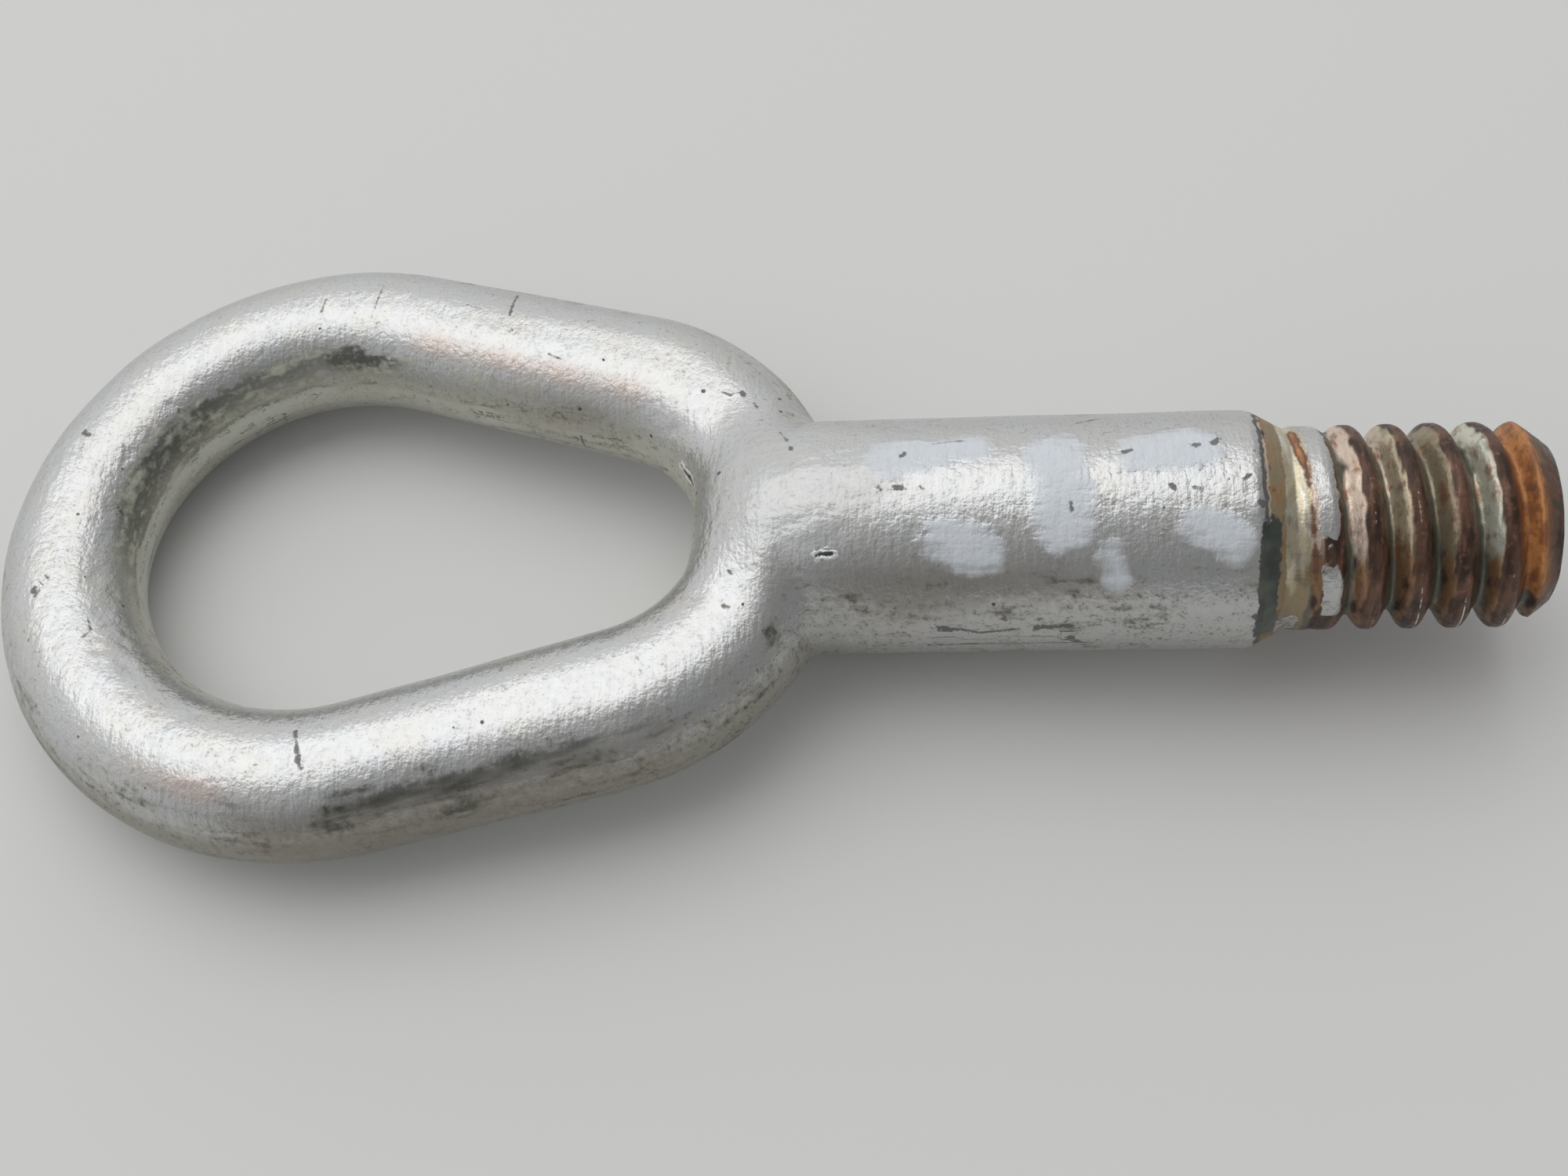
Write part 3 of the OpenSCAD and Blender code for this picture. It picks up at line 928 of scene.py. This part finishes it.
class Finish:
    """A material built up in layers, each laid over the last by a mask.

    Lengths are in millimetres. A value is a number, a colour or a socket.
    """

    def __init__(self, name):
        self.material = bpy.data.materials.new(name)
        self.material.use_nodes = True
        self.tree = self.material.node_tree
        self.shader = self.tree.nodes["Principled BSDF"]
        metres = self.node("ShaderNodeTexCoord").outputs["Object"]
        scaled = self.node("ShaderNodeVectorMath", {0: metres, "Scale": 1 / MM}, operation="SCALE")
        self.place = scaled.outputs["Vector"]

        # Noises that the layers share
        self.fine = self.noise(0.15, shift=11)
        self.grain = self.noise(0.4, shift=13, rough=0.65)
        self.mottle = self.noise(2.2, shift=17, rough=0.65)
        self.cloud = self.noise(8, detail=1.0, shift=19)
        flow = self.node("ShaderNodeAttribute", attribute_name="flow").outputs["Vector"]
        self.drag = self.noise(0.5, stretch=(0.22, 1.0, 1.0), shift=29, place=flow)
        self.streaks = self.noise(0.7, stretch=(2.2, 0.45, 0.45), shift=3)

    def node(self, kind, inputs=None, **settings):
        return make_node(self.tree, kind, inputs, **settings)

    def math(self, operation, *values):
        made = self.node("ShaderNodeMath", dict(enumerate(values)), operation=operation)
        return made.outputs[0]

    def times(self, *values):
        total = values[0]
        for value in values[1:]:
            total = self.math("MULTIPLY", total, value)
        return total

    def blend(self, first, *terms, plus=0.0):
        """First value plus others that are each given with a factor, plus a number."""
        total = first if plus == 0 else self.math("ADD", first, plus)
        for value, factor in terms:
            total = self.math("MULTIPLY_ADD", value, factor, total)
        return total

    def step(self, value, start, stop, low=0.0, high=1.0):
        """Smooth step from low at start to high at stop, which may lie either way."""
        if start > stop:
            start, stop, low, high = stop, start, high, low
        inputs = {"Value": value, "From Min": start, "From Max": stop, "To Min": low, "To Max": high}
        return self.node("ShaderNodeMapRange", inputs, interpolation_type="SMOOTHSTEP").outputs[0]

    def between(self, value, start, stop, edge):
        """1 between start and stop, with soft edges of this width."""
        rise = self.step(value, start - edge / 2, start + edge / 2)
        return self.times(rise, self.step(value, stop + edge / 2, stop - edge / 2))

    def field(self, name):
        return self.node("ShaderNodeAttribute", attribute_name=name).outputs["Fac"]

    def axis(self, name):
        return self.node("ShaderNodeSeparateXYZ", {0: self.place}).outputs[name]

    def noise(self, size, detail=2.0, stretch=(1, 1, 1), shift=0.0, rough=0.5, turn=0.0, place=None):
        """Noise from about -1 to 1 with grains of this size."""
        inputs = {"Vector": place or self.place, "Location": (shift,) * 3}
        inputs |= {"Rotation": (0, 0, turn), "Scale": stretch}
        moved = self.node("ShaderNodeMapping", inputs).outputs[0]
        inputs = {"Vector": moved, "Scale": 0.5 / size, "Detail": detail, "Roughness": rough}
        made = self.node("ShaderNodeTexNoise", inputs).outputs["Fac"]
        inputs = {"Value": made, "From Min": 0.25, "From Max": 0.75, "To Min": -1.0, "To Max": 1.0}
        return self.node("ShaderNodeMapRange", inputs, clamp=True).outputs[0]

    def specks(self, spacing, radius, share, shift):
        """Mask of ragged specks: one in each cell of this spacing, for a share of the cells."""
        inputs = {"Vector": self.place, "Location": (shift,) * 3}
        moved = self.node("ShaderNodeMapping", inputs).outputs[0]
        cells = self.node("ShaderNodeTexVoronoi", {"Vector": moved, "Scale": 1 / spacing})
        chance = self.node("ShaderNodeSeparateColor", {0: cells.outputs["Color"]})
        away = self.math("MULTIPLY_ADD", cells.outputs["Distance"], -spacing / radius, chance.outputs[1])
        inside = self.step(self.blend(away, (self.fine, 0.3)), -0.5, -0.15)
        return self.times(inside, self.math("LESS_THAN", chance.outputs[0], share))

    def beside(self, across, inside):
        """Distance from the nearest line, from the fields across it and in from its ends."""
        past_end = self.math("MINIMUM", self.field(inside), 0.0)
        squared = self.math("MULTIPLY_ADD", past_end, past_end, self.math("POWER", self.field(across), 2.0))
        return self.math("SQRT", squared)

    def mix_value(self, mask, low, high):
        inputs = {0: mask, 2: low, 3: high}
        return self.node("ShaderNodeMix", inputs, data_type="FLOAT").outputs[0]

    def mix(self, mask, low, high):
        inputs = {0: mask, 6: low, 7: high}
        return self.node("ShaderNodeMix", inputs, data_type="RGBA").outputs[2]

    def start(self, colour, metallic, roughness, height):
        """Lowest layer, which shows where no other is laid."""
        self.colour = colour
        self.metallic = metallic
        self.roughness = roughness
        self.height = height

    def lay(self, mask, colour=None, metallic=None, roughness=None, height=None):
        if colour is not None:
            self.colour = self.mix(mask, self.colour, colour)
        if metallic is not None:
            self.metallic = self.mix_value(mask, self.metallic, metallic)
        if roughness is not None:
            self.roughness = self.mix_value(mask, self.roughness, roughness)
        if height is not None:
            self.height = self.math("MULTIPLY_ADD", mask, height, self.height)

    def finished(self):
        bump = self.node("ShaderNodeBump", {"Height": self.height, "Distance": MM, "Strength": 1.0})
        links = {
            "Base Color": self.colour,
            "Metallic": self.metallic,
            "Roughness": self.roughness,
            "Normal": bump.outputs["Normal"],
        }
        for name, socket in links.items():
            self.tree.links.new(socket, self.shader.inputs[name])
        return self.material


def thread_layers(finish):
    """Worn steel of the stud: brown rust, pale flanks toward the eye and an orange last turn, with painted
    shade on its underside.
    """
    step, blend, times, lay = finish.step, finish.blend, finish.times, finish.lay
    field, between, mix = finish.field, finish.between, finish.mix
    x = finish.axis("X")
    crest = field("crest")
    flank = field("flank")
    under = field("under")
    grain, streaks, mottle = finish.grain, finish.streaks, finish.mottle

    lighter = step(blend(mottle, (streaks, 0.9)), -0.8, 0.8)
    worn = step(blend(grain, (streaks, 0.6)), 0.1, 1.1, 0.0, 0.7)
    finish.start(
        colour=mix(worn, mix(lighter, RUST_DARK, RUST_BROWN), RUST_PINK),
        metallic=0.45,
        roughness=step(grain, -0.6, 0.6, 0.34, 0.55),
        height=blend(times(grain, 0.016), (streaks, 0.022), (finish.fine, 0.005)),
    )

    # Greenish gray in the grooves
    deep = blend(times(crest, -1.0), (streaks, 0.25), (mottle, 0.3))
    lay(step(deep, 0.5, 0.9, 0.0, 0.85), colour=GROOVE_GREEN, metallic=0.6)

    # Pale flanks toward the eye: cream on the first ridge, then olive, then nearly white, their lightness in
    # part a painted highlight, and fewer below as painted shade
    toward_eye = blend(flank, (crest, -0.4), (streaks, 0.4), (mottle, 0.6), (under, -0.5))
    pale = mix(step(x, *OLIVE_SPAN), STEEL_CREAM, STEEL_OLIVE)
    pale = mix(between(x, *DULL_SPAN, 1.0), pale, STEEL_DULL)
    pale = mix(step(x, *PALE_SPAN), pale, STEEL_PALE)
    # Painted shade: the pale flanks turn tan on the side away from the light
    pale_shaded_below = step(blend(under, (mottle, 0.35), (streaks, 0.3)), 0.0, 0.5)
    pale = mix(pale_shaded_below, pale, SHADED_STEEL_TAN)
    stain = step(blend(mottle, (grain, 0.8), (streaks, 0.7)), 0.1, 1.3, 0.0, 0.75)
    pale = mix(stain, pale, RUST_PINK)
    lay(step(toward_eye, 0.2, 0.85), colour=pale, metallic=0.65, roughness=0.34)

    # Bright burr lines along the crests
    burr = finish.math("ABSOLUTE", blend(flank, plus=0.4))
    burr = times(step(burr, 0.11, 0.04), step(crest, 0.1, 0.3))
    burr = times(burr, step(blend(finish.cloud, (grain, 0.5)), 0.0, 0.3))
    lay(burr, colour=STEEL_BRIGHT, metallic=1.0)

    # Seat: a bright streaked ring next to the thread, painted darker below as shade, and a dirty tan cone
    along = blend(x, (grain, 0.12), (mottle, 0.22))
    ring = between(along, CONE_STOP_X, RING_STOP_X, 0.25)
    shine = mix(step(streaks, -0.4, 0.5), STEEL_OLIVE, STEEL_BRIGHT)
    ring_shaded_below = step(blend(under, (mottle, 0.5), (streaks, 0.5)), 0.0, 0.7)
    lay(ring, colour=mix(ring_shaded_below, shine, CONE_OLIVE), metallic=0.85, roughness=0.32)
    cone = between(along, CONE_START_X, CONE_STOP_X, 0.2)
    tone = step(blend(streaks, (mottle, 0.7)), -0.5, 0.5)
    tan = mix(tone, CONE_OLIVE, CONE_TAN)
    stain = step(blend(grain, (mottle, 0.8)), 0.2, 0.9, 0.0, 0.75)
    tan = mix(stain, tan, RUST_BROWN)
    lay(cone, colour=tan, metallic=0.3, roughness=0.55)

    # Orange rust
    rust = blend(field("rust"), (mottle, 0.2), (grain, 0.14))
    tone = step(blend(streaks, (mottle, 1.0), (grain, 0.5)), -0.5, 0.8)
    orange = mix(tone, RUST_ORANGE, RUST_DEEP)
    orange = mix(step(rust, 0.55, 1.0), RUST_BROWN, orange)
    lay(step(rust, 0.3, 0.6), colour=orange, metallic=0.15, roughness=0.5)


def paint_layers(finish):
    """Silver paint over the eye, the shank and the first ridge, with its dull and dirty parts, painted shade
    on its walls and a painted pink reflection.
    """
    step, blend, times, lay = finish.step, finish.blend, finish.times, finish.lay
    field, between, mix = finish.field, finish.between, finish.mix
    x = finish.axis("X")
    wall = field("wall")
    inner = field("inner")
    fine, grain, mottle, cloud, drag = finish.fine, finish.grain, finish.mottle, finish.cloud, finish.drag

    # The paint ends raggedly at the seat, and a coat of it lies on the first ridge
    edge = blend(x, (grain, 0.15), (mottle, 0.3))
    ridge = blend(field("ridge"), (grain, 0.25), (mottle, 0.4))
    coat = step(edge, PAINT_EDGE_X + 0.1, PAINT_EDGE_X - 0.1)
    coat = finish.math("MAXIMUM", coat, step(ridge, 0.42, 0.6))
    silver = mix(step(mottle, -0.9, 0.9), SILVER_COOL, SILVER_WARM)
    flecks = step(blend(fine, (grain, 0.5)), 0.25, 1.1, 0.0, 0.5)
    silver = mix(flecks, silver, SILVER_DULL)
    rough = step(grain, -1.0, 1.0, 0.24, 0.36)
    wrinkles = finish.noise(0.5, detail=1.0, stretch=(0.33, 1.0, 0.6), shift=37, turn=-0.2)
    roughened = times(field("pepper"), grain)
    wrinkled = times(field("fold"), wrinkles)
    heights = blend(
        times(fine, 0.0025), (grain, 0.005), (mottle, 0.004), (roughened, 0.012), (wrinkled, 0.03),
        plus=0.05,
    )
    metallic = step(field("fold"), 0.0, 1.0, 0.85, 0.45)
    lay(coat, colour=silver, metallic=metallic, roughness=rough, height=heights)

    # Dull olive film on the upright walls of the bar, mottled with finer dirt, in part painted shade on the
    # walls that turn away from the light
    film_and_shade = blend(wall, (mottle, 0.04), (grain, 0.1), (drag, 0.1))
    film_and_shade = times(step(film_and_shade, 0.2, 0.8, 0.0, 0.85), coat, step(x, *EYE_SPAN, 0.3, 1.0))
    film_and_shade_colour = mix(inner, WALL_FILM_AND_SHADE, INNER_FILM_AND_SHADE)
    lay(film_and_shade, colour=film_and_shade_colour, metallic=0.5, roughness=0.45)
    turning = step(wall, 0.2, 0.6)
    dust = blend(times(turning, 0.8), (fine, 0.9), (grain, 0.9), (mottle, 0.3), (drag, 0.5))
    dust = times(step(dust, 0.8, 2.3, 0.0, 0.6), coat)
    lay(dust, colour=DUST_DARK, metallic=0.4)

    # Brownish film on the walls: worn, dirty paint, and painted shade below the highlights
    brown_and_shade = blend(field("brown_and_shade"), (cloud, 0.15), (grain, 0.12), (drag, 0.12))
    brown_and_shade = times(step(brown_and_shade, 0.2, 0.95, 0.0, 0.6), step(wall, 0.16, 0.42))
    lay(brown_and_shade, colour=BROWN_FILM_AND_SHADE, metallic=0.4)

    # Dark line below the highlight, along the lower side of the eye: painted shade and painted reflection of
    # dark surroundings, in part dirt
    shade = between(blend(wall, (grain, 0.06), (drag, 0.07)), 0.18, 0.5, 0.14)
    place = blend(field("shade"), (drag, 0.25))
    shade = times(step(place, 0.1, 0.9, 0.0, 0.8), shade)
    lay(shade, colour=DIRT_AND_SHADE_DARK, metallic=0.5)

    # Painted pink reflection where the light turns off the top of the bar
    pink_reflection = times(field("pink_reflection"), between(wall, 0.05, 0.24, 0.12))
    lay(step(pink_reflection, 0.1, 0.9, 0.0, 0.8), colour=PAINTED_PINK_REFLECTION)

    # Trimmed flash line: a smooth lighter strip between two dirty cracks, plainest in the grime and painted
    # shade
    grime_and_shade_field = field("grime_and_shade")
    seam = blend(field("seam"), (grain, 0.2), (mottle, 0.45))
    strip = step(seam, -0.1, 0.3)
    crack = step(finish.math("ABSOLUTE", seam), 0.26, 0.06)
    crack = times(crack, step(finish.axis("Z"), 0.4, -0.4, 0.4, 1.0))
    patchy = blend(drag, (mottle, 0.8), (grime_and_shade_field, 0.9), (inner, 0.3))
    patchy = step(patchy, 0.4, 1.4, 0.0, 0.9)
    crack = times(crack, patchy, step(wall, 0.55, 0.75))
    dirty_strip = step(blend(grime_and_shade_field, (mottle, 0.3)), -0.3, 0.6, 0.1, 0.7)
    lay(times(strip, inner, dirty_strip), colour=STRIP_GRAY, metallic=0.6)

    # Fine dirty lines that follow the flow of the bar along its walls
    line = finish.math("ABSOLUTE", blend(drag, (grain, 0.3), plus=-0.35))
    line = times(step(line, 0.12, 0.03), step(wall, 0.3, 0.6), coat)
    patchy = step(blend(mottle, (inner, 0.5), (cloud, 0.6)), 0.0, 0.8, 0.0, 0.7)
    line = times(line, patchy)
    lay(line, colour=DIRT_AND_SHADE_DARK, metallic=0.3)

    # Dark streaky grime with painted shade on the walls and in the crease at the shank, which stops at the
    # edge of the wall
    dirt_and_shade = blend(grime_and_shade_field, (mottle, 0.45), (grain, 0.25), (drag, 0.5), (strip, -0.5))
    rim = step(blend(wall, (mottle, 0.12), (grain, 0.08)), 0.24, 0.34)
    tone = step(blend(drag, (mottle, 0.9), (grain, 0.6), (grime_and_shade_field, -0.8)), -1.5, 0.3)
    grime_and_shade = mix(times(tone, inner), DIRT_AND_SHADE_DARK, GRIME_AND_SHADE_LIGHT)
    dirt_and_shade = times(step(dirt_and_shade, 0.1, 1.1, 0.0, 0.85), rim)
    lay(dirt_and_shade, colour=grime_and_shade, metallic=0.4, roughness=0.42)
    lay(crack, colour=DIRT_AND_SHADE_DARK, metallic=0.1, roughness=0.7, height=-0.08)

    # Dark line where the paint ends on the seat
    end_line = finish.math("ABSOLUTE", blend(edge, plus=-PAINT_EDGE_X + 0.15))
    lay(step(end_line, 0.3, 0.12, 0.0, 0.85), colour=PIT_DARK, metallic=0.1, roughness=0.6)
    return coat


def mark_layers(finish, coat):
    """White daubs, grease, specks, scratches and chips."""
    step, blend, times, lay = finish.step, finish.blend, finish.times, finish.lay
    field, between, mix = finish.field, finish.between, finish.mix
    fine, grain, mottle, drag = finish.fine, finish.grain, finish.mottle, finish.drag

    # White paint daubed on by hand, thick in the middle of a stroke and dry at its edge
    inside = blend(field("daub"), (mottle, 0.85), (drag, 0.35))
    cover = step(blend(inside, (grain, 0.25)), -0.35, 0.45)
    thin = step(blend(inside, (drag, 0.6), (grain, 0.3)), -0.2, 1.6, 0.4, 0.95)
    ridged = blend(times(drag, 0.02), (grain, 0.006), plus=0.07)
    lay(times(cover, thin), colour=DAUB_WHITE, metallic=0.0, roughness=0.45, height=ridged)

    # Grease on the seat
    grease = blend(field("grease"), (grain, 0.28), (mottle, 0.35))
    tone = mix(step(mottle, -0.2, 1.0), GREASE, GREASE_DRY)
    lay(step(grease, 0.45, 0.7), colour=tone, metallic=0.1, roughness=0.4)

    # Dark specks where the paint has lifted, thicker in the peppered places
    specks = finish.specks(*SPECKS)
    pepper = step(blend(field("pepper"), (mottle, 0.5)), 0.35, 0.9, 0.0, 0.8)
    specks = finish.math("MAXIMUM", specks, times(finish.specks(*PEPPER_SPECKS), pepper))
    lay(times(specks, coat, 0.85), colour=PIT_DARK, metallic=0.1, roughness=0.6)

    # Scratches, and chips with a bright ragged lip on each side of a dark slit
    half = field("scratch_half")
    away = finish.beside("scratch_across", "scratch_inside")
    away = blend(away, (half, -1.0), (times(half, grain), 0.9), (fine, 0.06), (grain, 0.07))
    cut = step(away, 0.1, -0.16, 0.0, 0.85)
    lay(cut, colour=SCRATCH_GRAY, metallic=0.3, roughness=0.5, height=-0.05)
    away = blend(finish.beside("chip_across", "chip_inside"), (grain, 0.2), (fine, 0.08))
    lip = times(between(away, 0.24, 0.55, 0.2), step(drag, -0.3, 0.2))
    lay(lip, colour=CHIP_BRIGHT, metallic=0.5, height=0.08)
    lay(step(away, 0.2, 0.08), colour=PIT_DARK, metallic=0.1, roughness=0.7, height=-0.06)


def forging_finish():
    finish = Finish("painted_forging")
    thread_layers(finish)
    coat = paint_layers(finish)
    mark_layers(finish, coat)
    return finish.finished()


def make_floor():
    """Floor that the shank's underside and the eye's far end both touch."""
    shank_low = (NOSE_X, -SHANK_R)
    reach = OUTER_WIDE_X - OUTER_WIDE_R + BAR_END_W / 2
    slope = np.arctan2(SHANK_R - BAR_H / 2, shank_low[0] - reach)
    data = bpy.data.meshes.new("floor")
    builder = bmesh.new()
    bmesh.ops.create_grid(builder, x_segments=1, y_segments=1, size=1.5)
    builder.to_mesh(data)
    builder.free()
    floor = bpy.data.objects.new("floor", data)
    floor.rotation_euler = (0, slope, 0)
    floor.location = (shank_low[0] * MM, 0, shank_low[1] * MM)
    bpy.context.scene.collection.objects.link(floor)
    material = bpy.data.materials.new("floor")
    material.use_nodes = True
    shader = material.node_tree.nodes["Principled BSDF"]
    shader.inputs["Base Color"].default_value = FLOOR_COLOUR
    shader.inputs["Roughness"].default_value = 0.9
    data.materials.append(material)


def make_area(name, at, toward, size, spin, power):
    data = bpy.data.lights.new(name, "AREA")
    data.shape = "RECTANGLE"
    data.size, data.size_y = size
    data.energy = power
    lamp = bpy.data.objects.new(name, data)
    lamp.location = at
    aim = (Vector(at) - Vector(toward)).to_track_quat("Z", "Y")
    lamp.rotation_euler = (aim @ Quaternion((0, 0, 1), spin)).to_euler()
    bpy.context.scene.collection.objects.link(lamp)


def make_light():
    """A wide soft lamp overhead, past the zenith, and a dome that darkens toward the viewer."""
    away = Vector(LAMP_TOWARD).normalized()
    at = Vector(LAMP_AIM) + LAMP_DISTANCE * away
    make_area("soft_box", at, LAMP_AIM, LAMP_SIZE, LAMP_SPIN, LAMP_POWER)

    world = bpy.data.worlds.new("studio")
    bpy.context.scene.world = world
    world.use_nodes = True
    tree = world.node_tree
    direction = make_node(tree, "ShaderNodeTexCoord").outputs["Generated"]
    height = make_node(tree, "ShaderNodeVectorMath", {0: direction, 1: DOME_TOWARD}, operation="DOT_PRODUCT")
    inputs = {"Value": height.outputs["Value"], "To Min": DOME_DIM, "To Max": DOME_BRIGHT}
    inputs |= {"From Min": DOME_START, "From Max": DOME_STOP}
    level = make_node(tree, "ShaderNodeMapRange", inputs, interpolation_type="SMOOTHSTEP").outputs["Result"]
    background = tree.nodes["Background"]
    tree.links.new(level, background.inputs["Strength"])
    background.inputs["Color"].default_value = (1, 1, 1, 1)


base_points, faces = forging_mesh()
normals = vertex_normals(base_points, faces)
points = worn_points(base_points, normals)
find_place = place_finder(base_points, faces)
forging = make_piece("forging", points, faces)
give_fields(forging, base_points, normals, find_place)
forging.data.materials.append(forging_finish())
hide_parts("tow_eye")
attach(forging, "root")

make_camera()
make_floor()
make_light()
bpy.context.scene.view_settings.view_transform = "Standard"
